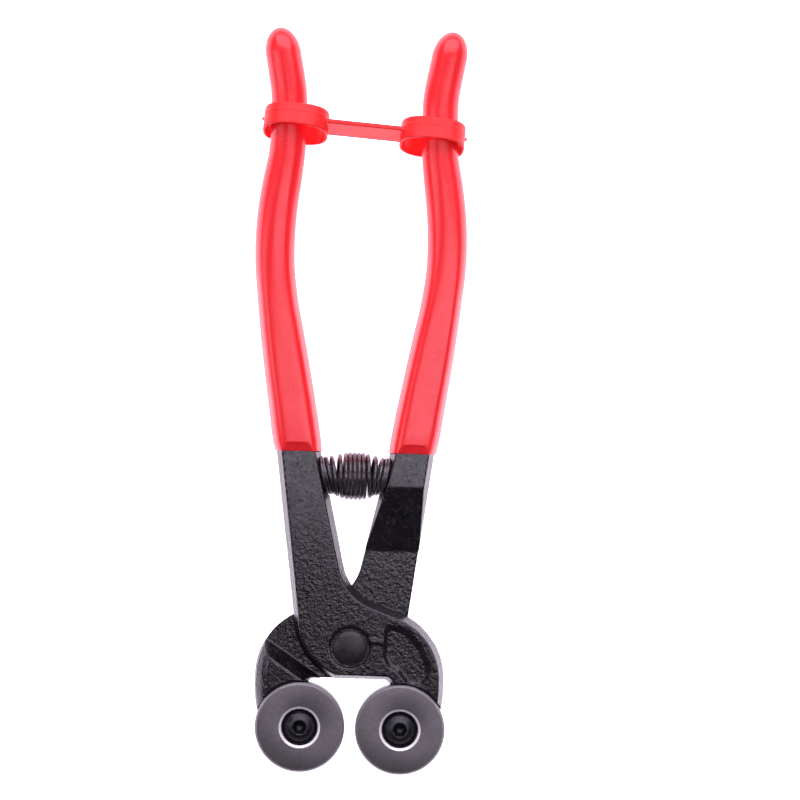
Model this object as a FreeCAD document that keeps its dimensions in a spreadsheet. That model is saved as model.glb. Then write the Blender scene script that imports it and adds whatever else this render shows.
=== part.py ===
import FreeCAD, Part

import math
import os
import re

import Sketcher
from FreeCAD import Placement, Rotation, Vector

# Wheeled mosaic glass nippers, held nearly shut by a storage strap.
# Frame: the origin is on the pivot axis at the flat back head of the rivet. +Z runs along the pivot
# towards the wheels' side, +Y towards the handle tips and +X to the right. Millimetres.

doc = FreeCAD.newDocument("glass_nippers")

# ---------------------------------------------------------------------------------------------
# Driving dimensions
# ---------------------------------------------------------------------------------------------
DIMENSIONS = {
    # Levels
    "mid_z": 7.6,               # parting plane of both forgings
    "half_thick": 4.8,          # from the parting plane to a flat face
    "lap_gap": 0.05,            # each lapped face stands back this much from the parting plane
    "draft_deg": 18.0,          # draft of the forged side walls
    # Shank, which crosses from the left handle to the right jaw
    "shank_top_y": 58.0,
    "shank_top_outer": 22.45,
    "shank_top_inner": 10.5,
    "hub_start_x": 16.0,
    "hub_start_y": 8.7,
    "hub_end_x": 4.0,
    "hub_radius": 18.4,
    "throat_y": -9.2,           # flat edge above the wheels
    "throat_end_x": 10.1,
    "throat_fillet": 2.7,
    "crotch_top_x": 2.3,
    "crotch_top_y": 22.2,
    "crotch_end_x": 7.6,
    "crotch_end_y": 11.9,
    "crotch_radius": 13.5,
    # Jaw
    "jaw_cx": 6.8,
    "jaw_cy": -8.6,
    "jaw_radius": 19.4,
    "jaw_top_x": 12.6,
    "jaw_side_y": -11.4,
    "jaw_end_x": 13.8,
    "jaw_end_y": -22.1,
    "jaw_end_radius": 9.1,
    "jaw_flank_radius": 28.1,
    # Lap step and ramp
    "step_deg": -56.0,          # direction in which the jaw block lies from the pivot
    "step_foot": 11.9,
    "step_top": 15.1,
    "ramp_foot_y": 26.5,
    "ramp_top_y": 44.3,
    # Recess on the face of the jaw
    "recess_depth": 1.0,
    "recess_slope_deg": 50.0,
    "recess_radius": 15.6,
    # Tang inside the grip
    "tang_half_width": 3.6,
    "tang_half_thick": 3.7,
    "tang_full_y": 75.0,
    # Pivot rivet
    "rivet_radius": 4.0,
    "rivet_play": 0.05,
    "rivet_head_radius": 4.8,
    "rivet_head_height": 2.3,
    "rivet_rim_height": 0.9,
    "rivet_seat_radius": 5.9,
    "rivet_seat_depth": 0.3,
    "rivet_back_radius": 5.2,
    "rivet_back_chamfer": 0.8,
    # Cutting wheels and their screws
    "left_wheel_x": 13.3,
    "right_wheel_x": 14.3,
    "wheel_y": -22.25,
    "wheel_radius": 12.33,
    "wheel_thick": 5.2,
    "wheel_rim_chamfer": 0.45,
    "wheel_bore_radius": 2.6,
    "wheel_sink_radius": 5.65,
    "wheel_sink_depth": 2.6,
    "wheel_sink_chamfer": 0.6,
    "seat_play": 0.2,
    "screw_radius": 2.5,
    "screw_length": 8.0,
    "screw_chamfer": 0.5,
    "screw_head_radius": 4.75,
    "screw_head_seat": 0.05,
    "screw_rim_height": 1.0,
    "screw_head_height": 2.9,
    "screw_crown_radius": 2.2,
    "hex_across": 3.4,
    "hex_depth": 1.9,
    # Return spring and the pegs that hold its ends
    "spring_y": 47.0,
    "spring_wire_radius": 0.54,
    "spring_seat_radius": 5.3,
    "spring_seat_depth": 1.0,
    "face_half_gap": 8.0,       # from the middle plane to a shank's inner edge at the spring
    "face_lean_deg": 13.05,     # lean of the shank's inner edge from +Y
    "peg_radius": 2.5,
    "peg_length": 6.5,
    "peg_stands_out": 2.6,
    "peg_chamfer": 0.5,
    # Storage strap: one moulding, two oval rings and a web
    "ring_x": 18.95,
    "ring_y": 143.0,
    "ring_half_width": 8.9,
    "ring_half_depth": 7.1,
    "ring_wall": 0.75,
    "ring_height": 5.9,
    "ring_tilt_deg": 13.0,
    "strap_lean_deg": 4.3,
    "web_thick": 1.3,
    "web_depth": 8.4,
    "web_bite": 0.6,
    # Cutting tools, which reach past the steel
    "cutter_reach": 200.0,
    "cutter_margin": 4.0,
}

# Centre line of the tang at rising heights: (height, distance from the middle plane)
TANG = [(75.0, 19.2), (95.0, 22.5), (110.0, 23.7), (121.0, 23.3), (132.0, 21.75), (145.0, 20.95),
        (155.0, 21.4), (163.0, 22.9)]

# Grip sections at rising heights: (height, centre, half width, half depth, squareness).
# Squareness is the exponent of a superellipse: 2 is an ellipse, more is squarer.
GRIP = [(53.6, 15.7, 6.4, 5.9, 3.2), (58.0, 16.4, 6.6, 6.0, 3.2), (65.3, 17.5, 6.45, 5.9, 3.0),
        (75.3, 19.2, 6.25, 5.75, 2.6), (85.2, 20.9, 5.95, 5.6, 2.4), (95.2, 22.6, 5.65, 5.5, 2.2),
        (105.0, 23.7, 5.45, 5.35, 2.0), (113.0, 23.8, 5.45, 5.3, 2.0), (121.7, 23.2, 5.45, 5.25, 2.0),
        (128.4, 22.3, 5.35, 5.2, 2.0), (136.7, 21.1, 4.95, 4.9, 2.0), (145.0, 20.95, 4.95, 4.9, 2.0),
        (151.6, 21.0, 4.95, 4.95, 2.0), (158.3, 22.0, 5.05, 5.0, 2.0), (163.3, 22.95, 5.0, 4.9, 2.0),
        (166.6, 23.4, 4.45, 4.4, 2.0), (168.8, 23.65, 3.3, 3.3, 2.0), (170.2, 23.8, 1.6, 1.6, 2.0),
        (170.6, 23.8, 0.6, 0.6, 2.0)]
SECTION_POINTS = 24

# One half of the spring's coils: (distance from the middle plane, mean radius, share of the face's lean)
COILS = [(0.61, 6.1, 0.0), (1.83, 6.05, 0.0), (3.05, 5.85, 0.0), (4.55, 5.35, 0.3), (6.12, 4.7, 1.0),
         (7.26, 4.55, 1.0), (8.4, 4.5, 1.0)]

# Outline of the recess on the jaw's face, but for its outer arc
RECESS = [(13.6, 6.2), (10.3, 6.6), (9.2, 5.4), (8.9, -2.6), (10.4, -5.2), (13.2, -6.7), (15.6, -9.8),
          (17.6, -10.9), (20.4, -9.9), (22.4, -7.4)]

for index, (height, centre) in enumerate(TANG):
    DIMENSIONS[f"tang_height_{index}"] = height
    DIMENSIONS[f"tang_centre_{index}"] = centre
for index, section in enumerate(GRIP):
    for name, value in zip(("height", "centre", "width", "depth", "square"), section):
        DIMENSIONS[f"grip_{name}_{index}"] = value
for index, coil in enumerate(COILS):
    for name, value in zip(("offset", "radius", "lean"), coil):
        DIMENSIONS[f"coil_{name}_{index}"] = value
for index, (x, y) in enumerate(RECESS):
    DIMENSIONS[f"recess_x_{index}"] = x
    DIMENSIONS[f"recess_y_{index}"] = y

sheet = doc.addObject("Spreadsheet::Sheet", "Dimensions")
for row, (alias, value) in enumerate(DIMENSIONS.items(), start=1):
    sheet.set(f"A{row}", alias)
    sheet.set(f"B{row}", str(value))
    sheet.setAlias(f"B{row}", alias)
doc.recompute()


# ---------------------------------------------------------------------------------------------
# Helpers: a size is written as a sum of aliases and numbers, such as "mid_z + half_thick"
# ---------------------------------------------------------------------------------------------
def terms(size):
    """The signed words of a size, such as [("+", "mid_z"), ("-", "2.5")]."""
    if isinstance(size, float):
        size = f"{size:.9f}"
    return [(sign or "+", word) for sign, word in re.findall(r"([+-]?)\s*([\w.]+)", str(size))]


def number(size):
    """The value of a size in millimetres or degrees."""
    total = 0.0
    for sign, word in terms(size):
        amount = sheet.get(word) if word in DIMENSIONS else float(word)
        total += -amount if sign == "-" else amount
    return total


def expression(size):
    """The size as an expression on the spreadsheet's cells."""
    words = [sign + (f"Dimensions.{word}" if word in DIMENSIONS else word) for sign, word in terms(size)]
    return "".join(words).lstrip("+")


def bind(item, **sizes):
    """Bind an object's properties to the spreadsheet."""
    for name, size in sizes.items():
        item.setExpression(name, expression(size))


def arc_between(start, end, radius, clockwise):
    """The shorter arc from start to end."""
    chord = end - start
    rise = math.sqrt(max(radius ** 2 - chord.Length ** 2 / 4, 0.0))
    side = Vector(chord.y, -chord.x, 0).normalize() * (1 if clockwise else -1)
    centre = (start + end) / 2 + side * rise
    circle = Part.Circle(centre, Vector(0, 0, 1), radius)
    first, last = (end, start) if clockwise else (start, end)
    return Part.ArcOfCircle(circle, circle.parameter(first), circle.parameter(last))


def draw(sketch, corners):
    """Closed outline with every corner bound to the sheet.

    A corner is (x, y), or (x, y, radius, "cw" or "ccw") where an arc leads from it to the next one.
    """
    points = [Vector(number(corner[0]), number(corner[1]), 0) for corner in corners]
    starts = []
    for index, corner in enumerate(corners):
        start, end = points[index], points[(index + 1) % len(points)]
        if len(corner) == 2:
            line = sketch.addGeometry(Part.LineSegment(start, end), False)
            starts.append((line, 1, 2))
        else:
            clockwise = corner[3] == "cw"
            arc = sketch.addGeometry(arc_between(start, end, number(corner[2]), clockwise), False)
            starts.append((arc, 2, 1) if clockwise else (arc, 1, 2))

    def joined(*what):
        return sketch.addConstraint(Sketcher.Constraint(*what))

    for index, corner in enumerate(corners):
        edge, first, last = starts[index]
        following = starts[(index + 1) % len(corners)]
        joined("Coincident", edge, last, following[0], following[1])
        for kind, size in (("DistanceX", corner[0]), ("DistanceY", corner[1])):
            if abs(number(size)) < 1e-9:
                joined("PointOnObject", edge, first, -2 if kind == "DistanceX" else -1)
            else:
                place = joined(kind, -1, 1, edge, first, number(size))
                sketch.setExpression(f"Constraints[{place}]", expression(size))
        if len(corner) > 2:
            place = joined("Radius", edge, number(corner[2]))
            sketch.setExpression(f"Constraints[{place}]", expression(corner[2]))
    return sketch


def free_sketch(name, corners, placement=None):
    """A sketch outside any body."""
    sketch = doc.addObject("Sketcher::SketchObject", name)
    sketch.Placement = placement or Placement()
    return draw(sketch, corners)


def prism(name, sketch, forward, back, draft=None):
    """A straight or drafted extrusion along the sketch's normal."""
    solid = doc.addObject("Part::Extrusion", name)
    solid.Base = sketch
    solid.DirMode = "Normal"
    solid.Solid = True
    bind(solid, LengthFwd=forward, LengthRev=back)
    if draft:
        bind(solid, TaperAngle=draft, TaperAngleRev=draft)
    return solid


def cylinder(name, radius, height, x=0, y=0, z=0, rotation=None):
    """A cylinder whose base centre is bound to the sheet."""
    solid = doc.addObject("Part::Cylinder", name)
    solid.Placement = Placement(Vector(), rotation or Rotation())
    bind(solid, Radius=radius, Height=height)
    for axis, size in (("x", x), ("y", y), ("z", z)):
        solid.setExpression(f"Placement.Base.{axis}", expression(size))
    return solid


def combine(kind, name, base, tool):
    """A boolean of two objects: Cut, Common or Fuse."""
    result = doc.addObject(f"Part::{kind}", name)
    result.Base = base
    result.Tool = tool
    result.Refine = True
    return result


def origin_plane(body, role):
    """One of the body's own origin planes."""
    return next(item for item in body.Origin.OriginFeatures if item.Role == role)


def body_sketch(body, name, role, corners):
    """A sketch on one of the body's origin planes."""
    sketch = body.newObject("Sketcher::SketchObject", name)
    sketch.AttachmentSupport = [(origin_plane(body, role), "")]
    sketch.MapMode = "FlatFace"
    return draw(sketch, corners)


def turned(name, corners):
    """A body turned about its own Z axis from a profile in radius and height."""
    body = doc.addObject("PartDesign::Body", name)
    profile = body_sketch(body, f"{name}_profile", "XZ_Plane", corners)
    turn = body.newObject("PartDesign::Revolution", f"{name}_turn")
    turn.Profile = profile
    turn.ReferenceAxis = (profile, ["V_Axis"])
    turn.Angle = 360
    return body


def place(item, x=0, y=0, z=0, rotation=None):
    """Set an object's placement, with its position bound to the sheet."""
    item.Placement = Placement(Vector(number(x), number(y), number(z)), rotation or Rotation())
    for axis, size in (("x", x), ("y", y), ("z", z)):
        item.setExpression(f"Placement.Base.{axis}", expression(size))


# ---------------------------------------------------------------------------------------------
# Handles: one drop forging, used twice. It is drawn as the front handle, shank on the left and jaw
# on the right, with its parting plane at z = 0.
# ---------------------------------------------------------------------------------------------
ABOUT_Y = Rotation(Vector(0, 1, 0), 180)
SIDE_VIEW = Placement(Vector(), Rotation(Vector(0, 1, 0), Vector(0, 0, 1), Vector(1, 0, 0), "ZXY"))


def jaw_points():
    """Tangent points of the jaw's arcs, worked out from the sheet."""
    end = Vector(number("jaw_end_x"), number("jaw_end_y"), 0)
    fillet = Vector(number("throat_end_x"), number("throat_y - throat_fillet"), 0)
    flank = Vector(number("jaw_cx + jaw_radius - jaw_flank_radius"), number("jaw_side_y"), 0)
    neck = end + (fillet - end).normalize() * number("jaw_end_radius")
    heel = end + (end - flank).normalize() * number("jaw_end_radius")
    top_rise = math.sqrt(number("jaw_radius") ** 2 - number("jaw_top_x - jaw_cx") ** 2)
    return neck, heel, number("jaw_cy") + top_rise


def forging_plan(prefix):
    """The forging's outline on the parting plane."""
    neck, heel, jaw_top = jaw_points()
    tang = range(len(TANG))
    corners = [(f"-tang_centre_{i} - tang_half_width", f"tang_height_{i}") for i in reversed(tang)]
    corners += [
        ("-shank_top_outer", "shank_top_y"),
        ("-hub_start_x", "hub_start_y", "hub_radius", "ccw"),
        ("-hub_end_x", "throat_y"),
        ("throat_end_x", "throat_y", "throat_fillet", "cw"),
        (neck.x, neck.y, "jaw_end_radius", "ccw"),
        ("jaw_end_x", "jaw_end_y - jaw_end_radius", "jaw_end_radius", "ccw"),
        (heel.x, heel.y, "jaw_flank_radius", "ccw"),
        ("jaw_cx + jaw_radius", "jaw_side_y"),
        ("jaw_cx + jaw_radius", "jaw_cy", "jaw_radius", "ccw"),
        ("jaw_top_x", jaw_top),
        ("crotch_end_x", "crotch_end_y", "crotch_radius", "cw"),
        ("-crotch_top_x", "crotch_top_y"),
        ("-shank_top_inner", "shank_top_y"),
    ]
    corners += [(f"-tang_centre_{i} + tang_half_width", f"tang_height_{i}") for i in tang]
    return free_sketch(f"{prefix}_plan", corners)


def forging_blank(prefix):
    """Drafted blank, thinned along the tang."""
    blank = prism(f"{prefix}_blank", forging_plan(prefix), "half_thick", "half_thick", "-draft_deg")
    side = free_sketch(
        f"{prefix}_side",
        [
            ("-cutter_reach", "-half_thick"),
            ("shank_top_y", "-half_thick"),
            ("tang_full_y", "-tang_half_thick"),
            ("cutter_reach", "-tang_half_thick"),
            ("cutter_reach", "tang_half_thick"),
            ("tang_full_y", "tang_half_thick"),
            ("shank_top_y", "half_thick"),
            ("-cutter_reach", "half_thick"),
        ],
        SIDE_VIEW,
    )
    envelope = prism(f"{prefix}_envelope", side, "cutter_reach", "cutter_reach")
    return combine("Common", f"{prefix}_thinned", blank, envelope)


def lap_cutter(prefix):
    """What the back loses for the lap joint: below the ramp, and on the pivot's side of the step."""
    ramp = free_sketch(
        f"{prefix}_ramp",
        [
            ("-cutter_reach", "lap_gap"),
            ("ramp_foot_y", "lap_gap"),
            ("ramp_top_y", "-half_thick"),
            ("ramp_top_y + cutter_margin", "-half_thick - cutter_margin"),
            ("-cutter_reach", "-half_thick - cutter_margin"),
        ],
        SIDE_VIEW,
    )
    along_step = Rotation(Vector(0, 0, 1), number("step_deg")).multiply(
        Rotation(Vector(1, 0, 0), Vector(0, 0, 1), Vector(0, -1, 0), "ZXY"))
    step = free_sketch(
        f"{prefix}_step",
        [
            ("-cutter_reach", "lap_gap"),
            ("step_foot", "lap_gap"),
            ("step_top", "-half_thick"),
            ("step_top + cutter_margin", "-half_thick - cutter_margin"),
            ("-cutter_reach", "-half_thick - cutter_margin"),
        ],
        Placement(Vector(), along_step),
    )
    ramp_cut = prism(f"{prefix}_ramp_cut", ramp, "cutter_reach", "cutter_reach")
    step_cut = prism(f"{prefix}_step_cut", step, "cutter_reach", "cutter_reach")
    return combine("Common", f"{prefix}_lap", ramp_cut, step_cut)


def recess_cutter(prefix):
    """The sunk panel on the jaw's face."""
    corners = [(f"recess_x_{i}", f"recess_y_{i}") for i in range(len(RECESS))]
    corners[-1] += ("recess_radius", "ccw")
    outline = free_sketch(f"{prefix}_recess_outline", corners,
                          Placement(Vector(0, 0, number("half_thick")), Rotation()))
    cutter = doc.addObject("Part::Extrusion", f"{prefix}_recess")
    cutter.Base = outline
    cutter.DirMode = "Normal"
    cutter.Solid = True
    bind(cutter, LengthRev="recess_depth", TaperAngleRev="-recess_slope_deg")
    cutter.LengthFwd = 0
    return cutter


def peg_axis():
    """Foot and direction of the spring peg's axis on the left shank's inner edge."""
    lean = math.radians(number("face_lean_deg"))
    foot = Vector(-number("face_half_gap"), number("spring_y"), 0)
    return foot, Vector(math.cos(lean), math.sin(lean), 0)


def handle(label, faces_front, pivot_radius, wheel_x):
    """A finished handle. The wheel's seat is always on the tool's front side."""
    steel = combine("Cut", f"{label}_lapped", forging_blank(label), lap_cutter(label))
    steel = combine("Cut", f"{label}_recessed", steel, recess_cutter(label))
    seat_base = 0 if faces_front else "-cutter_reach"
    seat_radius = "wheel_radius + seat_play"
    seat_floor = "half_thick - rivet_seat_depth"
    through = "cutter_reach + cutter_reach"
    foot, outward = peg_axis()
    lean = Rotation(Vector(0, 0, 1), outward)
    seat_foot = foot - outward * number("spring_seat_depth")
    hole_foot = foot - outward * number("peg_length - peg_stands_out")
    cuts = [
        cylinder(f"{label}_wheel_seat", seat_radius, "cutter_reach", wheel_x, "wheel_y", seat_base),
        cylinder(f"{label}_screw_hole", "screw_radius", through, wheel_x, "wheel_y", "-cutter_reach"),
        cylinder(f"{label}_pivot_bore", pivot_radius, through, 0, 0, "-cutter_reach"),
        cylinder(f"{label}_rivet_seat", "rivet_seat_radius", "cutter_margin", 0, 0, seat_floor),
        cylinder(f"{label}_spring_seat", "spring_seat_radius", "cutter_margin", *seat_foot, lean),
        cylinder(f"{label}_peg_hole", "peg_radius", "peg_length", *hole_foot, lean),
    ]
    tools = doc.addObject("Part::MultiFuse", f"{label}_tools")
    tools.Shapes = cuts
    finished = combine("Cut", label, steel, tools)
    place(finished, 0, 0, "mid_z", None if faces_front else ABOUT_Y)
    return finished


# ---------------------------------------------------------------------------------------------
# Grips: a dipped sleeve over each tang
# ---------------------------------------------------------------------------------------------
def grip_section(label, index, side):
    """One closed superellipse across the handle."""
    height, centre, width, depth, square = (
        sheet.get(f"grip_{name}_{index}") for name in ("height", "centre", "width", "depth", "square"))
    points = []
    for step in range(SECTION_POINTS):
        angle = 2 * math.pi * step / SECTION_POINTS
        across, up = math.cos(angle), math.sin(angle)
        x = math.copysign(abs(across) ** (2 / square), across) * width
        z = math.copysign(abs(up) ** (2 / square), up) * depth
        points.append(Vector(side * (centre + x), height, number("mid_z") + z))
    curve = Part.BSplineCurve()
    curve.interpolate(Points=points, PeriodicFlag=True)
    section = doc.addObject("Part::Feature", f"{label}_section_{index}")
    section.Shape = Part.Wire([curve.toShape()])
    return section


def grip(label, steel, side):
    """The sleeve: a loft through the sections, less the steel inside it."""
    loft = doc.addObject("Part::Loft", f"{label}_outside")
    loft.Sections = [grip_section(label, index, side) for index in range(len(GRIP))]
    loft.Solid = True
    loft.Ruled = False
    return combine("Cut", label, loft, steel)


# ---------------------------------------------------------------------------------------------
# Rivet, wheels, screws, pegs and spring
# ---------------------------------------------------------------------------------------------
def dome(rim_radius, rim_height, crown_radius, crown_height):
    """Radius of the arc that crowns a head, flat at its crown's radius."""
    run, rise = rim_radius - crown_radius, crown_height - rim_height
    return (run ** 2 + rise ** 2) / (2 * rise)


def pivot_rivet():
    """Headed in front, peened flat at the back, where the tool lies on it."""
    front = "mid_z + half_thick - rivet_seat_depth"
    crown = dome(number("rivet_head_radius"), number("rivet_rim_height"), 0.0, number("rivet_head_height"))
    return turned("pivot_rivet", [
        (0, 0),
        ("rivet_back_radius - rivet_back_chamfer", 0),
        ("rivet_back_radius", "rivet_back_chamfer"),
        ("rivet_back_radius", "mid_z - half_thick"),
        ("rivet_radius", "mid_z - half_thick"),
        ("rivet_radius", front),
        ("rivet_head_radius", front),
        ("rivet_head_radius", f"{front} + rivet_rim_height", crown, "ccw"),
        (0, f"{front} + rivet_head_height"),
    ])


def cutting_wheel(label, wheel_x):
    """Hard disc with a chamfered rim and a sunk seat for the screw's head."""
    wheel = turned(label, [
        ("wheel_bore_radius", 0),
        ("wheel_radius - wheel_rim_chamfer", 0),
        ("wheel_radius", "wheel_rim_chamfer"),
        ("wheel_radius", "wheel_thick - wheel_rim_chamfer"),
        ("wheel_radius - wheel_rim_chamfer", "wheel_thick"),
        ("wheel_sink_radius", "wheel_thick"),
        ("wheel_sink_radius - wheel_sink_chamfer", "wheel_thick - wheel_sink_chamfer"),
        ("wheel_sink_radius - wheel_sink_chamfer", "wheel_thick - wheel_sink_depth"),
        ("wheel_bore_radius", "wheel_thick - wheel_sink_depth"),
    ])
    place(wheel, wheel_x, "wheel_y", "mid_z + lap_gap")
    return wheel


def wheel_screw(label, wheel_x):
    """Button-head screw with a hexagon socket. Its z = 0 is the seat under the head."""
    crown = dome(number("screw_head_radius"), number("screw_rim_height"), number("screw_crown_radius"),
                 number("screw_head_height"))
    screw = turned(label, [
        (0, "-screw_length"),
        ("screw_radius - screw_chamfer", "-screw_length"),
        ("screw_radius", "screw_chamfer - screw_length"),
        ("screw_radius", 0),
        ("screw_head_radius", 0),
        ("screw_head_radius", "screw_rim_height", crown, "ccw"),
        ("screw_crown_radius", "screw_head_height"),
        (0, "screw_head_height"),
    ])
    doc.recompute()
    corner = number("hex_across") / math.sqrt(3)
    directions = [math.radians(60 * i) for i in range(6)]
    hexagon = [(corner * math.cos(angle), corner * math.sin(angle)) for angle in directions]
    outline = body_sketch(screw, f"{label}_socket_outline", "XY_Plane", hexagon)
    outline.AttachmentOffset = Placement(Vector(0, 0, number("screw_head_height")), Rotation())
    socket = screw.newObject("PartDesign::Pocket", f"{label}_socket")
    socket.Profile = outline
    bind(socket, Length="hex_depth")
    seat = "mid_z + lap_gap + wheel_thick - wheel_sink_depth + screw_head_seat"
    place(screw, wheel_x, "wheel_y", seat)
    return screw


def spring_peg(label, side):
    """Pin pressed into a shank, inside the spring's end coils."""
    peg = turned(label, [
        (0, 0),
        ("peg_radius", 0),
        ("peg_radius", "peg_length - peg_chamfer"),
        ("peg_radius - peg_chamfer", "peg_length"),
        (0, "peg_length"),
    ])
    foot, outward = peg_axis()
    start = foot - outward * number("peg_length - peg_stands_out")
    outward = Vector(-side * outward.x, outward.y, 0)
    place(peg, -side * start.x, start.y, "mid_z", Rotation(Vector(0, 0, 1), outward))
    return peg


def return_spring():
    """Barrel compression spring, drawn coil by coil; the end coils lie flat on the leaning shanks."""
    coils = []
    for side in (-1, 1):
        for index in range(len(COILS)):
            coil = doc.addObject("Part::Torus", "coil")
            bind(coil, Radius1=f"coil_radius_{index}", Radius2="spring_wire_radius")
            lean = -side * number("face_lean_deg") * number(f"coil_lean_{index}")
            turn = Rotation(Vector(0, 0, 1), lean).multiply(Rotation(Vector(0, 1, 0), 90))
            sign = "-" if side < 0 else ""
            place(coil, f"{sign}coil_offset_{index}", "spring_y", "mid_z", turn)
            coils.append(coil)
    spring = doc.addObject("Part::Compound", "return_spring")
    spring.Links = coils
    return spring


# ---------------------------------------------------------------------------------------------
# Storage strap. Its frame stands at the middle of the web: X along the web, Z through the rings.
# ---------------------------------------------------------------------------------------------
STRAP_TURN = Rotation(Vector(0, 0, 1), -number("strap_lean_deg")).multiply(
    Rotation(Vector(1, 0, 0), -number("ring_tilt_deg") - 90))


def oval(name, half_width, half_depth, x):
    """A solid oval column through the ring's place."""
    outline = doc.addObject("Part::Ellipse", f"{name}_outline")
    bind(outline, MajorRadius=half_width, MinorRadius=half_depth)
    outline.setExpression("Placement.Base.x", expression(x))
    column = doc.addObject("Part::Extrusion", name)
    column.Base = outline
    column.DirMode = "Custom"
    column.Dir = Vector(0, 0, 1)
    column.Solid = True
    column.Symmetric = True
    bind(column, LengthFwd="ring_height")
    return column


def strap_ring(label, sign):
    """One oval ring."""
    x = f"{sign}ring_x"
    outside = oval(f"{label}_outside", "ring_half_width", "ring_half_depth", x)
    inside = oval(f"{label}_inside", "ring_half_width - ring_wall", "ring_half_depth - ring_wall", x)
    ring = combine("Cut", label, outside, inside)
    place(ring, 0, "ring_y", "mid_z", STRAP_TURN)
    return ring


def strap_web():
    """Thin flat web between the rings; its ends are cut to the rings' outsides."""
    bar = doc.addObject("Part::Box", "strap_bar")
    bind(bar, Length="ring_x - ring_half_width + ring_x - ring_half_width + web_bite + web_bite",
         Width="web_depth", Height="web_thick")
    reach = "ring_half_width - ring_x - web_bite"
    bar.setExpression("Placement.Base.x", expression(reach))
    bar.setExpression("Placement.Base.y", "-Dimensions.web_depth / 2")
    bar.setExpression("Placement.Base.z", "-Dimensions.web_thick / 2")
    ends = doc.addObject("Part::MultiFuse", "strap_web_ends")
    ends.Shapes = [oval(f"strap_end_{side}", "ring_half_width", "ring_half_depth", f"{sign}ring_x")
                   for side, sign in (("left", "-"), ("right", ""))]
    web = combine("Cut", "strap_web", bar, ends)
    place(web, 0, "ring_y", "mid_z", STRAP_TURN)
    return web


# ---------------------------------------------------------------------------------------------
# Assembly
# ---------------------------------------------------------------------------------------------
front_handle = handle("front_handle", True, "rivet_radius", "right_wheel_x")
rear_handle = handle("rear_handle", False, "rivet_radius + rivet_play", "left_wheel_x")
pieces = [
    front_handle,
    rear_handle,
    grip("left_grip", front_handle, -1),
    grip("right_grip", rear_handle, 1),
    pivot_rivet(),
    cutting_wheel("left_wheel", "-left_wheel_x"),
    cutting_wheel("right_wheel", "right_wheel_x"),
    wheel_screw("left_wheel_screw", "-left_wheel_x"),
    wheel_screw("right_wheel_screw", "right_wheel_x"),
    spring_peg("left_spring_peg", -1),
    spring_peg("right_spring_peg", 1),
    return_spring(),
    strap_ring("strap_left_ring", "-"),
    strap_ring("strap_right_ring", ""),
    strap_web(),
]
doc.recompute()

for item in doc.Objects:
    if "Invalid" in item.State or "Error" in item.State:
        raise RuntimeError(f"{item.Name} failed: {item.State}")
for piece in pieces:
    if piece.Shape.isNull() or not piece.Shape.isValid():
        raise RuntimeError(f"{piece.Label} has no valid shape")

os.makedirs("parts", exist_ok=True)
for piece in pieces:
    piece.Shape.exportStep(os.path.join("parts", f"{piece.Label}.step"))
    box = piece.Shape.BoundBox
    print(f"{piece.Label:20s} {len(piece.Shape.Solids):2d} solids {piece.Shape.Volume:9.1f} mm3",
          f"x {box.XMin:7.2f} {box.XMax:7.2f}  y {box.YMin:7.2f} {box.YMax:7.2f}",
          f" z {box.ZMin:6.2f} {box.ZMax:6.2f}")
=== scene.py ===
import math

import bmesh
import bpy
import numpy as np
from mathutils import Matrix, Vector, noise


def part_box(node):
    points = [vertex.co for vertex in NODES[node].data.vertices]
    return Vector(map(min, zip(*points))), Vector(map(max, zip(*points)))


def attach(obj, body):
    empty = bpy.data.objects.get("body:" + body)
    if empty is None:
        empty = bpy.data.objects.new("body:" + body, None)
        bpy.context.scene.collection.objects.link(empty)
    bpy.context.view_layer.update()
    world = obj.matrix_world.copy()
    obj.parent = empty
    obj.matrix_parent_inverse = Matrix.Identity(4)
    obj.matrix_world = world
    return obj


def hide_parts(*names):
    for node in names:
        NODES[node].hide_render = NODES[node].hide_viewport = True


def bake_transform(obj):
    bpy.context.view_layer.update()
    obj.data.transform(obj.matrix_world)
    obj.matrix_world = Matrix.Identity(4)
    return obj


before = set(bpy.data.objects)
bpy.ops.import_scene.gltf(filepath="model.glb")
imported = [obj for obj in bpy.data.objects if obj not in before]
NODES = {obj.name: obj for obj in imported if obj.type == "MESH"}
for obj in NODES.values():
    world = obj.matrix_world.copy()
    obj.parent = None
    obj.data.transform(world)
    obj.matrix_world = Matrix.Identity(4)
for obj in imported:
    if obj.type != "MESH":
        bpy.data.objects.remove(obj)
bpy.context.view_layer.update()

# Mosaic glass nippers. Sizes below are in millimetres in the CAD frame: origin on the pivot axis at
# the rivet's flat back, +Z towards the wheels' side, +Y towards the handle tips.
MM = 0.001


def box_mm(node):
    """A CAD node's lowest and highest corners, in millimetres."""
    low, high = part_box(node)
    return np.array(low) / MM, np.array(high) / MM


def centre_mm(node):
    """The middle of a CAD node's box."""
    low, high = box_mm(node)
    return (low + high) / 2


FORGING_LOW, FORGING_HIGH = box_mm("front_handle")
MID_Z = (FORGING_LOW[2] + FORGING_HIGH[2]) / 2     # parting plane of the forgings
FACE_Z = FORGING_HIGH[2]                           # front face of the front handle


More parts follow.
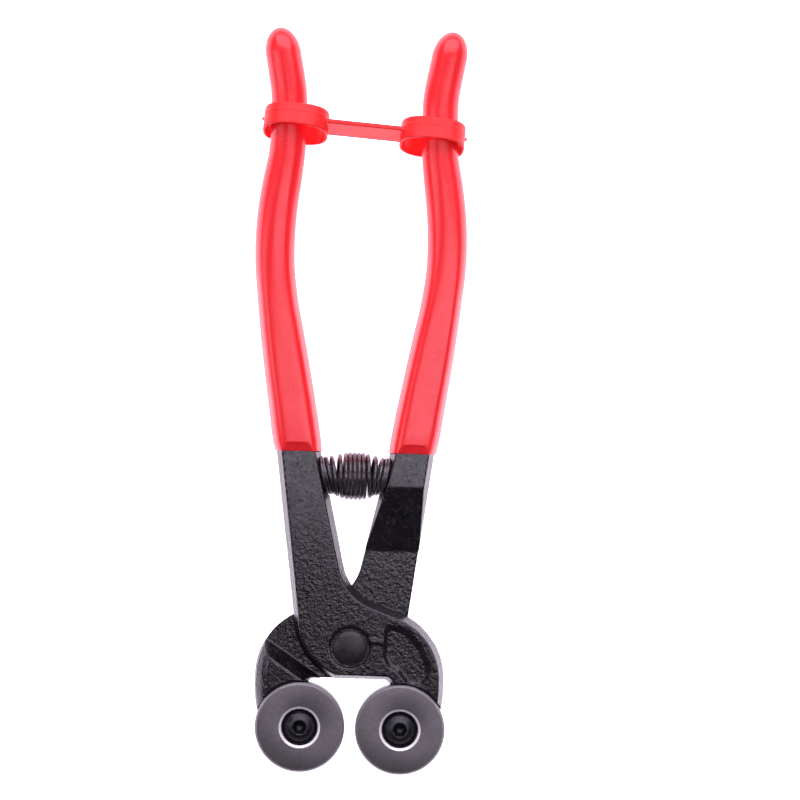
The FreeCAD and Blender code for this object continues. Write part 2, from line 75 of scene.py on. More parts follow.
# =============================================================================================
# Materials
# =============================================================================================
class Graph:
    """Short names for building one node material."""

    def __init__(self, name):
        self.material = bpy.data.materials.new(name)
        self.material.use_nodes = True
        self.tree = self.material.node_tree
        self.shader = self.tree.nodes["Principled BSDF"]
        self.place = self.tree.nodes.new("ShaderNodeTexCoord").outputs["Object"]

    def node(self, kind, inputs=None, **settings):
        """A new node. Inputs are values or sockets to link."""
        made = self.tree.nodes.new(kind)
        for name, value in settings.items():
            setattr(made, name, value)
        for name, value in (inputs or {}).items():
            if isinstance(value, bpy.types.NodeSocket):
                self.tree.links.new(value, made.inputs[name])
            else:
                made.inputs[name].default_value = value
        return made

    def set(self, **values):
        """Shader inputs by name, with underscores for spaces."""
        for name, value in values.items():
            socket = self.shader.inputs[name.replace("_", " ")]
            if isinstance(value, bpy.types.NodeSocket):
                self.tree.links.new(value, socket)
            else:
                socket.default_value = value

    def noise(self, scale_mm, detail=4.0, roughness=0.55, stretch=(1, 1, 1), distortion=0.0):
        """Noise whose grain is about scale_mm across."""
        spread = self.node("ShaderNodeMapping", {"Vector": self.place, "Scale": stretch})
        grain = self.node("ShaderNodeTexNoise", {
            "Vector": spread.outputs["Vector"], "Scale": 1 / (scale_mm * MM), "Detail": detail,
            "Roughness": roughness, "Distortion": distortion})
        return grain.outputs["Fac"]

    def span(self, fac, low, high, start=0.3, end=0.7):
        """fac mapped from start..end to low..high."""
        return self.node("ShaderNodeMapRange", {
            "Value": fac, "From Min": start, "From Max": end, "To Min": low, "To Max": high,
        }).outputs["Result"]

    def ramp(self, fac, *stops):
        """A colour ramp from (position, colour) stops."""
        made = self.node("ShaderNodeValToRGB", {"Fac": fac})
        elements = made.color_ramp.elements
        while len(elements) < len(stops):
            elements.new(0.5)
        for element, (position, colour) in zip(elements, stops):
            element.position = position
            element.color = (*colour, 1)
        return made.outputs["Color"]

    def bump(self, height, strength, distance_mm, normal=None):
        """A bumped normal, on top of another one if given."""
        inputs = {"Height": height, "Strength": strength, "Distance": distance_mm * MM}
        if normal is not None:
            inputs["Normal"] = normal
        return self.node("ShaderNodeBump", inputs).outputs["Normal"]


def enamel_material():
    """Glossy black enamel: bark-like over the forged skin of the joint, smooth and pitted up the shanks."""
    g = Graph("forged_enamel")
    colour = g.ramp(g.noise(3.5, 5), (0.3, (0.003, 0.003, 0.004)), (0.7, (0.010, 0.009, 0.012)))
    height = g.node("ShaderNodeSeparateXYZ", {"Vector": g.place}).outputs["Y"]
    bark = g.span(height, 0.7, 0.08, 0.018, 0.038)
    fine = g.bump(g.noise(0.5, 2, 0.5), bark, 0.08)
    coarse = g.bump(g.noise(0.95, 2, 0.5, stretch=(1, 0.7, 1), distortion=0.6), bark, 0.14, fine)
    pits = g.bump(g.span(g.noise(0.9, 4, 0.6, distortion=1.2), 1, 0, 0.6, 0.68), 0.5, 0.12, coarse)
    g.set(Base_Color=colour, Roughness=g.span(g.noise(2.2, 5), 0.14, 0.24), Normal=pits, IOR=1.55)
    return g.material


def grip_material():
    """Dipped red vinyl: glossy, with faint runs and specks."""
    g = Graph("dipped_vinyl")
    colour = g.ramp(g.noise(14, 3), (0.3, (0.95, 0.018, 0.025)), (0.7, (0.99, 0.026, 0.033)))
    runs = g.bump(g.noise(7.0, 2, 0.4, stretch=(1, 0.25, 1)), 0.1, 0.12)
    skin = g.bump(g.noise(0.7, 3), 0.04, 0.03, runs)
    g.set(Base_Color=colour, Roughness=g.span(g.noise(5.0, 3), 0.23, 0.28), Normal=skin, IOR=1.54)
    return g.material


def strap_material():
    """Soft moulded vinyl, satin and a little see-through where thin."""
    g = Graph("strap_vinyl")
    colour = g.ramp(g.noise(5.0, 4), (0.3, (0.92, 0.012, 0.012)), (0.7, (0.97, 0.022, 0.022)))
    skin = g.bump(g.noise(0.5, 4), 0.12, 0.03)
    g.set(Base_Color=colour, Roughness=g.span(g.noise(1.8, 4), 0.36, 0.48), Normal=skin,
          Subsurface_Weight=0.1, Subsurface_Scale=0.0012, Specular_IOR_Level=0.35)
    return g.material


def carbide_material():
    """Ground dark carbide with fine turning marks."""
    g = Graph("ground_carbide")
    tone = g.noise(1.2, 6, 0.65)
    colour = g.ramp(tone, (0.3, (0.15, 0.143, 0.148)), (0.7, (0.185, 0.176, 0.182)))
    marks = g.bump(g.noise(0.12, 4), 0.2, 0.01)
    around = g.node("ShaderNodeTangent", direction_type="RADIAL", axis="Z").outputs["Tangent"]
    g.set(Base_Color=colour, Metallic=0.8, Roughness=g.span(g.noise(0.8, 5), 0.34, 0.46), Normal=marks,
          Anisotropic=0.55, Tangent=around)
    return g.material


def sink_ring_painted_reflection_material():
    """Polished ring at the wheel's sunk seat, coloured near white as a painted reflection."""
    g = Graph("sink_ring_painted_reflection")
    scratches = g.bump(g.noise(0.15, 4), 0.2, 0.01)
    # Near-white, nearly non-metallic colour: a painted reflection of the polished bevel
    g.set(Base_Color=g.ramp(g.noise(0.6, 4), (0.3, (0.93, 0.92, 0.93)), (0.7, (1.0, 0.99, 1.0))),
          Metallic=0.15, Roughness=g.span(g.noise(0.5, 4), 0.22, 0.34), Normal=scratches)
    return g.material


def rim_material():
    """The wheel's ground edge: a rougher finish, and a lighter, less metallic colour as a painted
    highlight.
    """
    g = Graph("ground_edge_painted_highlight")
    scratches = g.bump(g.noise(0.15, 4), 0.2, 0.01)
    # Lighter, less metallic colour than the face: a painted highlight along the rim
    g.set(Base_Color=g.ramp(g.noise(0.8, 4), (0.3, (0.22, 0.21, 0.22)), (0.7, (0.29, 0.28, 0.29))),
          Metallic=0.5, Roughness=g.span(g.noise(0.5, 4), 0.42, 0.54), Normal=scratches)
    return g.material


def oxide_material():
    """Satin black oxide on the rivet, screws and pegs."""
    g = Graph("black_oxide")
    colour = g.ramp(g.noise(1.4, 5), (0.3, (0.005, 0.005, 0.006)), (0.7, (0.014, 0.013, 0.015)))
    skin = g.bump(g.noise(0.35, 4), 0.18, 0.03)
    g.set(Base_Color=colour, Roughness=g.span(g.noise(0.9, 4), 0.34, 0.5), Normal=skin)
    return g.material


def turned_material():
    """Black oxide over turning marks, on the screws' heads."""
    g = Graph("turned_oxide")
    colour = g.ramp(g.noise(1.0, 5), (0.3, (0.03, 0.03, 0.035)), (0.7, (0.05, 0.05, 0.057)))
    marks = g.bump(g.noise(0.2, 4), 0.15, 0.02)
    around = g.node("ShaderNodeTangent", direction_type="RADIAL", axis="Z").outputs["Tangent"]
    g.set(Base_Color=colour, Metallic=0.8, Roughness=g.span(g.noise(0.6, 4), 0.3, 0.4), Normal=marks,
          Anisotropic=0.8, Tangent=around)
    return g.material


def spring_material():
    """Dark blued wire with a purple-brown cast."""
    g = Graph("blued_wire")
    colour = g.ramp(g.noise(2.0, 4), (0.3, (0.07, 0.062, 0.068)), (0.7, (0.125, 0.11, 0.12)))
    skin = g.bump(g.noise(0.2, 4), 0.15, 0.02)
    g.set(Base_Color=colour, Metallic=0.85, Roughness=g.span(g.noise(0.5, 4), 0.24, 0.34), Normal=skin)
    return g.material


def floor_material():
    """White studio sweep, lit so evenly that it shows no shadow."""
    g = Graph("studio_floor")
    g.set(Base_Color=g.ramp(g.noise(300, 2), (0.3, (0.82, 0.82, 0.82)), (0.7, (0.86, 0.86, 0.86))),
          Roughness=0.9, Emission_Color=(1.0, 0.9, 1.06, 1), Emission_Strength=1.5)
    return g.material


ENAMEL = enamel_material()
GRIP = grip_material()
STRAP = strap_material()
CARBIDE = carbide_material()
SINK_RING_PAINTED_REFLECTION = sink_ring_painted_reflection_material()
RIM = rim_material()
OXIDE = oxide_material()
TURNED = turned_material()
SPRING = spring_material()


# =============================================================================================
# Mesh helpers: points in millimetres
# =============================================================================================
def finish_piece(obj, body, slot, nodes, *materials):
    """Materials, smooth shading, body and replaced nodes of one piece; the slot argument is not used."""
    obj.data.materials.clear()
    for material in materials:
        obj.data.materials.append(material)
    obj.data.shade_smooth()
    if body:
        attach(obj, body)
    if nodes:
        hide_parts(*nodes)
    return obj


def make_object(name, points, faces):
    """A mesh object from points in millimetres, with its faces turned outwards."""
    mesh = bpy.data.meshes.new(name)
    mesh.from_pydata([tuple(p) for p in np.asarray(points, float) * MM], [], faces)
    skin = bmesh.new()
    skin.from_mesh(mesh)
    bmesh.ops.recalc_face_normals(skin, faces=skin.faces)
    skin.to_mesh(mesh)
    skin.free()
    obj = bpy.data.objects.new(name, mesh)
    bpy.context.scene.collection.objects.link(obj)
    return obj


def grid_faces(rings, around, joined=False):
    """Quads between rings of points; joined also closes the last ring to the first."""
    faces = []
    for ring in range(rings if joined else rings - 1):
        here, there = ring * around, ((ring + 1) % rings) * around
        for k in range(around):
            after = (k + 1) % around
            faces.append((here + k, here + after, there + after, there + k))
    return faces


def loft(name, rings):
    """A closed solid through rings of points, with a fan at each end."""
    around = len(rings[0])
    points = np.vstack(list(rings) + [rings[0].mean(0)[None], rings[-1].mean(0)[None]])
    faces = grid_faces(len(rings), around)
    low, high = len(points) - 2, len(points) - 1
    last = (len(rings) - 1) * around
    for k in range(around):
        after = (k + 1) % around
        faces.append((low, after, k))
        faces.append((high, last + k, last + after))
    return make_object(name, points, faces)


def rounded(corners, radius, closed=False, steps=4):
    """The outline with each corner rounded by a small curve. A corner may carry its own radius."""
    count = len(corners)
    result = []
    for index, corner in enumerate(corners):
        here = np.array(corner[:2], float)
        if not closed and index in (0, count - 1):
            result.append(here)
            continue
        before = np.array(corners[index - 1][:2], float)
        after = np.array(corners[(index + 1) % count][:2], float)
        size = corner[2] if len(corner) > 2 else radius
        reach = min(size, np.linalg.norm(before - here) * 0.45, np.linalg.norm(after - here) * 0.45)
        start = here + (before - here) / np.linalg.norm(before - here) * reach
        end = here + (after - here) / np.linalg.norm(after - here) * reach
        for step in range(steps + 1):
            t = step / steps
            result.append((1 - t) ** 2 * start + 2 * t * (1 - t) * here + t ** 2 * end)
    return result


def turned(profile, centre, around=160, hexagon=None):
    """A body turned about Z. hexagon(r, z) is how far, 0 to 1, a point's circle becomes a hexagon."""
    angles = np.linspace(0, 2 * math.pi, around, endpoint=False)
    sixth = math.pi / 3
    flat = math.cos(sixth / 2) / np.cos((angles % sixth) - sixth / 2)
    rings = []
    for r, z in profile:
        share = hexagon(r, z) if hexagon else 0.0
        radius = r * ((1 - share) + share * flat)
        rings.append(np.column_stack([centre[0] + radius * np.cos(angles),
                                      centre[1] + radius * np.sin(angles),
                                      np.full(around, centre[2] + z)]))
    return rings


def softened(rough, voxel_mm):
    """The object remeshed into one even skin with softened edges. The rough object is removed."""
    remesh = rough.modifiers.new("skin", "REMESH")
    remesh.mode = "VOXEL"
    remesh.voxel_size = voxel_mm * MM
    smooth = rough.modifiers.new("soften", "SMOOTH")
    smooth.factor = 0.5
    smooth.iterations = 4
    bpy.context.view_layer.update()
    fine = bpy.data.meshes.new_from_object(rough.evaluated_get(bpy.context.evaluated_depsgraph_get()))
    bpy.data.objects.remove(rough)
    return fine


# =============================================================================================
# Handles: the CAD forgings with softened edges and a forged skin
# =============================================================================================
TANG_CUT_Y = 63.0          # the tang above this is inside the grip
SKIN_VOXEL = 0.27


def forged_handle(name, node, body, seed):
    """The node's solid, remeshed finely, smoothed at its edges and pressed by noise."""
    mesh = NODES[node].data.copy()
    solid = bmesh.new()
    solid.from_mesh(mesh)
    bmesh.ops.remove_doubles(solid, verts=solid.verts, dist=1e-7)
    cut = bmesh.ops.bisect_plane(solid, geom=solid.verts[:] + solid.edges[:] + solid.faces[:],
                                 plane_co=(0, TANG_CUT_Y * MM, 0), plane_no=(0, 1, 0), clear_outer=True)
    rim = [item for item in cut["geom_cut"] if isinstance(item, bmesh.types.BMEdge)]
    bmesh.ops.holes_fill(solid, edges=rim)
    solid.to_mesh(mesh)
    solid.free()
    rough = bpy.data.objects.new(name + "_rough", mesh)
    bpy.context.scene.collection.objects.link(rough)
    fine = softened(rough, SKIN_VOXEL)
    press_skin(fine, seed)
    obj = bpy.data.objects.new(name, fine)
    bpy.context.scene.collection.objects.link(obj)
    return finish_piece(obj, body, "forged_steel", [node], ENAMEL)


# The rear jaw's outline: one arc over its shoulder and a flatter one down its flank, both given
# for the jaw on the right and mirrored where they are used.
JAW_CENTRE, JAW_RADIUS = (6.8, -8.6), 19.4
FLANK_CENTRE, FLANK_RADIUS = (-1.9, -11.4), 28.1
BLOCK = Vector((-0.559, -0.829, 0))    # direction of the rear jaw's block from the pivot
BLOCK_START = 13.5
BLOCK_EDGE = 4.0                       # the block's edge is rounded this far in, and this far down
RIDGE = ((5.4, 2.0), (8.9, 1.5))       # a small raised ridge from the rivet's seat to the recess
RIDGE_HEIGHT, RIDGE_SPREAD = 0.2, 0.5
BARK_TOP, BARK_FADE = 17, 20           # the bark starts to fade at this height, over this length
BEAD_HEIGHT = 0.14
BEAD_FACING, BEAD_SPREAD = 0.88, 0.09  # how far an edge faces upwards where the bead sits


def press_skin(mesh, seed):
    """Forged skin: bark near the joint, smoother up the shank, a faint bead along the faces' edges.

    The rear handle (seed above 0) also gets its block rounded off; the front one gets the ridge.
    """
    count = len(mesh.vertices)
    points = np.zeros(count * 3)
    mesh.vertices.foreach_get("co", points)
    points = points.reshape(-1, 3)
    normals = np.array([v.normal for v in mesh.vertices])
    shift = np.zeros(count)
    for index in range(count):
        x, y, z = points[index] / MM
        bark = 1.0 - 0.85 * min(max((y - BARK_TOP) / BARK_FADE, 0), 1)
        place = Vector((x, y * 0.8, z + seed))
        shift[index] = bark * (0.035 * noise.noise(place * 0.9) + 0.06 * noise.noise(place * 2.1))
    x, y, z = (points / MM).T
    bead = np.exp(-((normals[:, 2] - BEAD_FACING) / BEAD_SPREAD) ** 2) * (z > FACE_Z - 0.7)
    points += normals * (shift * (1 - bead) + BEAD_HEIGHT * bead)[:, None] * MM
    if seed:
        shoulder = JAW_RADIUS - np.hypot(x + JAW_CENTRE[0], y - JAW_CENTRE[1])
        flank = FLANK_RADIUS - np.hypot(x + FLANK_CENTRE[0], y - FLANK_CENTRE[1])
        inset = np.clip(np.where(y < FLANK_CENTRE[1], flank, shoulder), 0, BLOCK_EDGE)
        block = (x * BLOCK.x + y * BLOCK.y > BLOCK_START) & (z > MID_Z + 1)
        rounding = FACE_Z - BLOCK_EDGE * (1 - inset / BLOCK_EDGE) ** 1.8
        points[block, 2] = np.minimum(z, rounding + shift)[block] * MM
    else:
        a, b = np.array(RIDGE[0]), np.array(RIDGE[1])
        along = np.clip(((x - a[0]) * (b - a)[0] + (y - a[1]) * (b - a)[1]) / ((b - a) @ (b - a)), 0, 1)
        away = np.hypot(x - a[0] - along * (b - a)[0], y - a[1] - along * (b - a)[1])
        points[:, 2] += (normals[:, 2] > 0.75) * np.exp(-(away / RIDGE_SPREAD) ** 2) * RIDGE_HEIGHT * MM
    mesh.vertices.foreach_set("co", points.ravel())
    mesh.update()


# =============================================================================================
# Grips
# =============================================================================================
# Height, centre, half width and half depth of the grip, and how faceted it is (1 over the forging's
# drafted section, 0 where it is round). Above the last station the tip closes as half an ellipse.
GRIP_STATIONS = np.array([
    (53.6, 15.75, 6.65, 5.85, 1.00), (58.0, 16.50, 6.75, 5.95, 1.00), (65.3, 17.65, 6.65, 5.90, 1.00),
    (75.3, 19.35, 6.45, 5.75, 1.00), (85.2, 21.00, 6.12, 5.60, 0.95), (95.2, 22.60, 5.65, 5.45, 0.85),
    (105.0, 23.70, 5.50, 5.30, 0.60), (113.0, 23.80, 5.50, 5.25, 0.40), (121.7, 23.20, 5.48, 5.20, 0.25),
    (128.4, 22.30, 5.40, 5.15, 0.15), (136.7, 21.15, 5.05, 4.95, 0.10), (145.0, 20.95, 4.98, 4.90, 0.05),
    (151.6, 21.00, 5.00, 4.95, 0.00), (158.3, 22.00, 5.05, 4.95, 0.00), (163.3, 22.95, 5.00, 4.90, 0.00)])
TIP_Y = 170.6
TIP_CENTRE = 23.8
LIP_LENGTH = 2.5           # the dip slopes down to the steel over this length
LIP_DEPTH = 0.9
LIP_ARCH = 0.0027          # how fast the lip's roof rises towards its ends
DRAFT = math.radians(18)
FACE_REACH = 0.975         # the flat faces' distance, as a share of the half depth
CORNER_ANGLE = 0.9         # where the corner facets face, in radians from the sleeve's side
CORNER_REACH = 0.55        # their distance, as a share of half width and half depth together
SHARPNESS = 22             # how crisp the edges between facets are


def smooth_table(table, at):
    """Smooth reading of a table at a value of its first column."""
    keys = table[:, 0]
    index = int(np.clip(np.searchsorted(keys, at) - 1, 0, len(keys) - 2))
    slopes = np.gradient(table, keys, axis=0)
    span = keys[index + 1] - keys[index]
    t = (at - keys[index]) / span
    a, b = table[index], table[index + 1]
    return ((2 * t ** 3 - 3 * t ** 2 + 1) * a + (t ** 3 - 2 * t ** 2 + t) * span * slopes[index]
            + (3 * t ** 2 - 2 * t ** 3) * b + (t ** 3 - t ** 2) * span * slopes[index + 1])


def grip_ring(height, side, around=128):
    """One section of the grip: rounded facets blended into an oval."""
    last = GRIP_STATIONS[-1, 0]
    _, centre, width, depth, facets = smooth_table(GRIP_STATIONS, min(height, last))
    if height > last:
        share = (height - last) / (TIP_Y - last)
        closing = math.sqrt(max(1 - share ** 2, 0.0009))
        centre += share * (TIP_CENTRE - centre)
        width, depth = width * closing, depth * closing
    lip = max(1 - (height - GRIP_STATIONS[0, 0]) / LIP_LENGTH, 0)
    angles = np.linspace(0, 2 * math.pi, around, endpoint=False)
    oval = 1 / np.sqrt((np.cos(angles) / width) ** 2 + (np.sin(angles) / depth) ** 2)
    wall = (width - 0.12 * lip) * math.cos(DRAFT)
    face = FACE_REACH * depth
    corner = CORNER_REACH * (width + depth)
    walls = [(sign * math.pi / 2, face) for sign in (1, -1)]
    walls += [(angle, wall) for angle in (DRAFT, -DRAFT, math.pi - DRAFT, math.pi + DRAFT)]
    walls += [(angle, corner) for angle in (CORNER_ANGLE, -CORNER_ANGLE,
                                            math.pi - CORNER_ANGLE, math.pi + CORNER_ANGLE)]
    total = sum(np.clip(np.cos(angles - facing) / reach, 0, None) ** SHARPNESS for facing, reach in walls)
    polygon = (total / 2) ** (-1 / SHARPNESS)
    radius = facets * polygon + (1 - facets) * oval
    across, up = radius * np.cos(angles), radius * np.sin(angles)
    if lip:
        roof = face - LIP_DEPTH * lip + LIP_ARCH * across ** 4
        up = np.clip(up, -roof, roof)
    return np.column_stack([side * (centre + across), np.full(around, height), MID_Z + up])


def grip(name, node, body, side):
    """Sleeve with a tapered lip at its mouth and a round tip."""
    low, last = GRIP_STATIONS[0, 0], GRIP_STATIONS[-1, 0]
    heights = list(np.linspace(low, low + LIP_LENGTH, 11))
    heights += list(np.linspace(low + LIP_LENGTH + 0.15, last, 180))
    heights += list(last + (TIP_Y - last) * np.sin(np.linspace(0.05, 1, 30) * math.pi / 2))
    rings = [grip_ring(h, side) for h in heights]
    mouth = rings[0].mean(0)
    inner = [mouth + (rings[0] - mouth) * share for share in (0.55, 0.8, 0.97)]
    for ring, rise in zip(inner, (0.5, 0.35, 0.05)):
        ring[:, 1] += rise
    obj = loft(name, inner + rings)
    return finish_piece(obj, body, "grip", [node], GRIP)


# =============================================================================================
# Rivet, wheels and screws
# =============================================================================================
RIVET_HEAD, RIVET_SHANK, RIVET_PEEN = 4.8, 4.0, 5.2    # radii
RIVET_BAND = 0.9           # straight side of the head below its dome


def pivot_rivet():
    """Domed in front, peened flat behind."""
    high = box_mm("pivot_rivet")[1]
    seat = FACE_Z - 0.3
    band = seat + RIVET_BAND
    crown = [(RIVET_HEAD * math.cos(a), band + (high[2] - band) * math.sin(a))
             for a in np.linspace(0.05, math.pi / 2, 24)]
    profile = rounded([(0.01, 0), (RIVET_PEEN - 0.8, 0), (RIVET_PEEN, 0.8), (RIVET_PEEN, FORGING_LOW[2]),
                       (RIVET_SHANK, FORGING_LOW[2]), (RIVET_SHANK, seat), (RIVET_HEAD, seat),
                       (RIVET_HEAD, band)], 0.3)
    profile += [np.array(p) for p in crown[:-1]] + [np.array((0.02, high[2]))]
    obj = loft("pivot_rivet_shaped", turned(profile, (0, 0, 0)))
    return finish_piece(obj, "front_half", "black_steel", ["pivot_rivet"], OXIDE)


BORE_RADIUS = 2.6
SINK_RADIUS = 5.65         # sunk seat at the wheel's face, outside its bright bevel
SINK_BEVEL = 0.62
SINK_DEPTH = 2.6
BACK_CHAMFER, FRONT_CHAMFER = 0.45, 0.6


def cutting_wheel(side):
    """Carbide disc: chamfered rim, sunk seat with a ring whose near-white colour is a painted reflection.
    """
    node = f"{side}_wheel"
    low, high = box_mm(node)
    radius, thick = (high[0] - low[0]) / 2, high[2] - low[2]
    centre = ((low[0] + high[0]) / 2, (low[1] + high[1]) / 2, low[2])
    seat_radius, seat = SINK_RADIUS - SINK_BEVEL, thick - SINK_DEPTH
    corners = [(BORE_RADIUS, 0), (radius - BACK_CHAMFER, 0), (radius, BACK_CHAMFER),
               (radius, thick - FRONT_CHAMFER), (radius - FRONT_CHAMFER, thick), (SINK_RADIUS, thick),
               (seat_radius, thick - 0.5), (seat_radius, seat), (BORE_RADIUS, seat)]
    profile = rounded(corners, 0.12, closed=True, steps=3)
    rings = turned(profile, centre, 192)
    obj = make_object(f"{side}_wheel_ground", np.vstack(rings), grid_faces(len(rings), 192, joined=True))
    finish_piece(obj, f"{side}_wheel_body", "carbide", [node], CARBIDE, SINK_RING_PAINTED_REFLECTION, RIM)
    for face in obj.data.polygons:
        middle = np.array(face.center) / MM - centre
        out = math.hypot(middle[0], middle[1])
        # The polished bevel's faces take the near-white painted reflection colour
        if out < SINK_RADIUS + 0.08 and middle[2] > thick - 0.6:
            face.material_index = 1
        # The chamfer's faces take the rim colour with its painted highlight
        elif out > radius - FRONT_CHAMFER - 0.02 and middle[2] > thick - FRONT_CHAMFER - 0.02:
            face.material_index = 2
    return obj


HEX_CORNER = 1.96          # hexagon socket, centre to corner
HEX_DEPTH = 1.9
SCREW_SHANK = 2.5
SCREW_HEAD_HEIGHT = 2.9
SCREW_CROWN_HEIGHT = 1.9   # the cone on top; the rest of the head is a straight side


def wheel_screw(side, body):
    """Button head with a hexagon socket, and a plain end at the back of the jaw."""
    node = f"{side}_wheel_screw"
    low, high = box_mm(node)
    centre = ((low[0] + high[0]) / 2, (low[1] + high[1]) / 2, 0)
    head, seat, top = (high[0] - low[0]) / 2, high[2] - SCREW_HEAD_HEIGHT, high[2]
    side_top = seat + SCREW_HEAD_HEIGHT - SCREW_CROWN_HEIGHT
    flat = HEX_CORNER + 0.12
    crown = [(head - (head - flat) * t, side_top + SCREW_CROWN_HEIGHT * (1 - (1 - t) ** 1.35))
             for t in np.linspace(0.03, 1, 16)]
    profile = rounded([(0.01, low[2]), (SCREW_SHANK - 0.5, low[2]), (SCREW_SHANK, low[2] + 0.5),
                       (SCREW_SHANK, seat), (head, seat), (head, side_top)], 0.2)
    profile += [np.array(p) for p in crown]
    profile += [np.array(p) for p in ((HEX_CORNER + 0.05, top - 0.02), (HEX_CORNER, top - 0.12),
                                      (HEX_CORNER, top - HEX_DEPTH), (0.01, top - HEX_DEPTH - 0.5))]

    def socket(r, z):
        return 1.0 if r <= HEX_CORNER + 0.01 and z > top - HEX_DEPTH - 1 else 0.0

    obj = loft(f"{side}_screw_shaped", turned(profile, centre, 144, socket))
    return finish_piece(obj, body, "black_steel", [node], TURNED)


# =============================================================================================
# Return spring: one wire wound in a barrel, its ends lying on the leaning shanks
# =============================================================================================
SPRING_Y = 47.0
WIRE_RADIUS = 0.56
STEPS_PER_COIL = 60
# Each coil of one half: distance from the middle, mean radius, lean in degrees
HALF_COILS = [(0.61, 6.1, 0), (1.83, 6.05, 0), (3.05, 5.85, 0), (4.7, 5.4, 2), (6.15, 5.0, 12),
              (7.3, 4.9, 13), (8.4, 4.9, 13), (8.6, 4.9, 13)]


def return_spring():
    """The wire swept along its coils; each end follows the shank it rests on."""
    coils = [(-x, r, -a) for x, r, a in reversed(HALF_COILS)] + HALF_COILS
    table = np.array([(i, *coil) for i, coil in enumerate(coils)], float)
    turns = np.linspace(0, len(coils) - 1, (len(coils) - 1) * STEPS_PER_COIL + 1)
    path = []
    for turn in turns:
        _, x, radius, lean = smooth_table(table, turn)
        angle = 2 * math.pi * turn - 0.6 * math.pi
        arm = Matrix.Rotation(math.radians(-lean), 3, "Z") @ Vector((0, math.cos(angle), math.sin(angle)))
        path.append(np.array((x, SPRING_Y, MID_Z)) + np.array(arm) * radius)
    path = np.array(path)
    along = np.gradient(path, axis=0)
    along /= np.linalg.norm(along, axis=1)[:, None]
    outward = path - np.column_stack([path[:, 0], np.full(len(path), SPRING_Y), np.full(len(path), MID_Z)])
    outward -= along * (outward * along).sum(1)[:, None]
    outward /= np.linalg.norm(outward, axis=1)[:, None]
    across = np.cross(along, outward)
    angles = np.linspace(0, 2 * math.pi, 12, endpoint=False)
    rings = []
    for k in range(len(path)):
        circle = np.cos(angles)[:, None] * outward[k] + np.sin(angles)[:, None] * across[k]
        rings.append(path[k] + WIRE_RADIUS * circle)
    obj = loft("return_spring_wire", rings)
    finish_piece(obj, None, "spring_steel", ["return_spring"], SPRING)
    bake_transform(obj)
    return obj


# =============================================================================================
# Storage strap: two oval rings and a web, one soft moulding
# =============================================================================================
MOULDING_VOXEL = 0.2
RING_WALL = 0.7
RING_HEIGHT = 6.3
RING_HALF_WIDTH = 9.0
RING_HALF_DEPTH = 7.3
PARTING_LINE = 0.9         # height of the mould's parting line above the ring's middle
WEB_HALF_DEPTH, WEB_HALF_THICK = 4.2, 0.62
RING_FULLNESS = 0.78       # power on the oval's sine and cosine: below 1 the corners fill out
STRAP_LEAN = math.radians(-4.3)
STRAP_TILT = math.radians(-107)


def strap():
    """Both rings, the web and the flash tags, remeshed into one soft moulding."""
    left, right = centre_mm("strap_left_ring"), centre_mm("strap_right_ring")
    middle = (left + right) / 2 - (0, 0.3, 0)
    reach = np.linalg.norm(right - left) / 2
    turn = Matrix.Rotation(STRAP_LEAN, 3, "Z") @ Matrix.Rotation(STRAP_TILT, 3, "X")
    ends = reach + RING_HALF_WIDTH
    parts = [ring_points(-reach), ring_points(reach), web_points(reach - RING_HALF_WIDTH),
             flash_points(-ends, -1), flash_points(ends, 1)]
    points, faces = [], []
    for part_points, part_faces in parts:
        faces += [tuple(i + len(points) for i in face) for face in part_faces]
        points += [middle + np.array(turn @ Vector(p)) for p in part_points]
    rough = make_object("strap_rough", np.array(points), faces)
    fine = softened(rough, MOULDING_VOXEL)
    obj = bpy.data.objects.new("storage_strap", fine)
    bpy.context.scene.collection.objects.link(obj)
    finish_piece(obj, None, "strap", ["strap_left_ring", "strap_web", "strap_right_ring"], STRAP)
    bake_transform(obj)
    return obj


def ring_points(x, around=128):
    """An oval band about its own Z axis, with a faint parting line round it."""
    half = RING_HEIGHT / 2
    line = PARTING_LINE
    wall = [(0, -half), (0, line - 0.2), (0.13, line), (0, line + 0.2), (0, half), (-RING_WALL, half),
            (-RING_WALL, -half)]
    angles = np.linspace(0, 2 * math.pi, around, endpoint=False)
    points = []
    for out, height in wall:
        for a in angles:
            across = math.copysign(abs(math.cos(a)) ** RING_FULLNESS, math.cos(a))
            up = math.copysign(abs(math.sin(a)) ** RING_FULLNESS, math.sin(a))
            points.append((x + (RING_HALF_WIDTH + out) * across, (RING_HALF_DEPTH + out) * up, height))
    return points, grid_faces(len(wall), around, joined=True)


def web_points(reach):
    """A thin flat bar that bites a little into both rings."""
    long = reach + 0.6
    points = [(sx * long, sy * WEB_HALF_DEPTH, sz * WEB_HALF_THICK)
              for sx in (-1, 1) for sy in (-1, 1) for sz in (-1, 1)]
    faces = [(0, 1, 3, 2), (4, 6, 7, 5), (0, 4, 5, 1), (2, 3, 7, 6), (0, 2, 6, 4), (1, 5, 7, 3)]
    return points, faces


def flash_points(x, way):
    """A short tag of flash left on the parting line at a ring's outer end."""
    root, tip = x - way * 0.5, x + way * 0.7
    points = [(root, -0.6, 0.5), (root, 0.6, 0.5), (root, 0.6, 1.3), (root, -0.6, 1.3),
              (tip, -0.25, 0.0), (tip, 0.25, 0.0), (tip, 0.25, 0.5), (tip, -0.25, 0.5)]
    faces = [(0, 1, 2, 3), (4, 7, 6, 5), (0, 4, 5, 1), (1, 5, 6, 2), (2, 6, 7, 3), (3, 7, 4, 0)]
    return points, faces


# =============================================================================================
# Stage
# =============================================================================================
ROLL = math.radians(1.6)
CAMERA_HEIGHT = 600.0
CAMERA_Y = 68.3
TINT = (1.0, 0.9, 1.06)    # the studio's light is a little purple


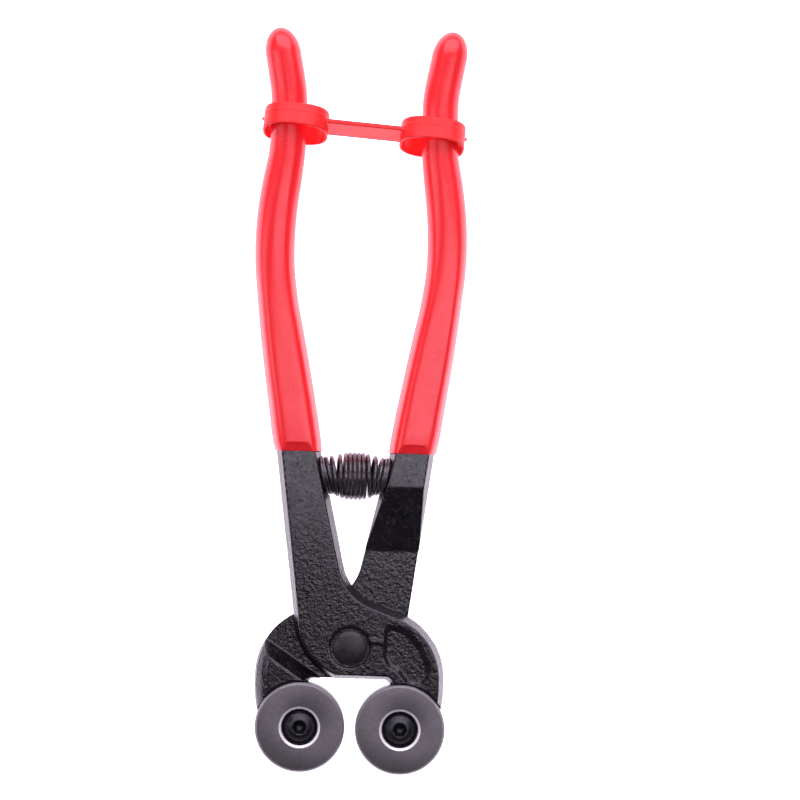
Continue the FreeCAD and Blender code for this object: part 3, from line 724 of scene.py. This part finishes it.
def stage():
    """White sweep under the tool, a strip light across its middle, a fill and a bright horizon."""
    bpy.ops.mesh.primitive_plane_add(size=8, location=(0, 0.07, -0.0005))
    floor = bpy.context.object
    floor.name = "studio_floor"
    floor.data.materials.append(floor_material())
    room()
    softbox("softbox_key", (0.48, 0.11, 1.2), (1.2, 0.30), 3.4, Vector((0.48, 0.11, 0)))
    softbox("softbox_left", (-0.95, 0.1, 0.85), (0.4, 1.0), 2.2, Vector((0, 0.06, 0)))
    softbox("softbox_back", (0.1, 1.15, 0.95), (2.4, 1.3), 2.8, Vector((0, 0.06, 0)))


def room():
    """Dim room, bright near the horizon."""
    world = bpy.data.worlds.new("room")
    world.use_nodes = True
    tree = world.node_tree
    height = tree.nodes.new("ShaderNodeSeparateXYZ")
    tree.links.new(tree.nodes.new("ShaderNodeTexCoord").outputs["Generated"], height.inputs["Vector"])
    glow = tree.nodes.new("ShaderNodeMapRange")
    tree.links.new(height.outputs["Z"], glow.inputs["Value"])
    for name, value in (("From Min", 0.04), ("From Max", 0.14), ("To Min", 1.0), ("To Max", 0.07)):
        glow.inputs[name].default_value = value
    tree.links.new(glow.outputs["Result"], tree.nodes["Background"].inputs["Strength"])
    tree.nodes["Background"].inputs["Color"].default_value = (*TINT, 1)
    bpy.context.scene.world = world


def softbox(name, place, size, radiance, target):
    """A rectangular light that faces the target."""
    light = bpy.data.lights.new(name, "AREA")
    light.shape = "RECTANGLE"
    light.size, light.size_y = size
    light.color = TINT
    light.energy = radiance * math.pi * size[0] * size[1]
    lamp = bpy.data.objects.new(name, light)
    lamp.location = place
    aim = target - Vector(place)
    lamp.rotation_euler = aim.to_track_quat("-Z", "Y").to_euler()
    bpy.context.scene.collection.objects.link(lamp)


def camera():
    """Looks straight down at the tool, rolled a little, with the tool left of the middle."""
    data = bpy.data.cameras.new("camera")
    data.lens = 97.5
    data.sensor_width = 36
    data.shift_x = 0.0625
    eye = bpy.data.objects.new("camera", data)
    eye.location = (-CAMERA_Y * math.sin(ROLL) * MM, (CAMERA_Y - 0.3) * MM, (MID_Z + CAMERA_HEIGHT) * MM)
    eye.rotation_euler = (0, 0, ROLL)
    bpy.context.scene.collection.objects.link(eye)
    bpy.context.scene.camera = eye
    bpy.context.scene.view_settings.view_transform = "Standard"


camera()
stage()
forged_handle("front_handle_forged", "front_handle", "front_half", 0)
forged_handle("rear_handle_forged", "rear_handle", "rear_half", 40)
grip("left_grip_dipped", "left_grip", "front_half", -1)
grip("right_grip_dipped", "right_grip", "rear_half", 1)
pivot_rivet()
for wheel_side, jaw in (("left", "rear_half"), ("right", "front_half")):
    cutting_wheel(wheel_side)
    wheel_screw(wheel_side, jaw)
for peg in ("left_spring_peg", "right_spring_peg"):
    NODES[peg].data.materials.clear()
    NODES[peg].data.materials.append(OXIDE)
return_spring()
strap()
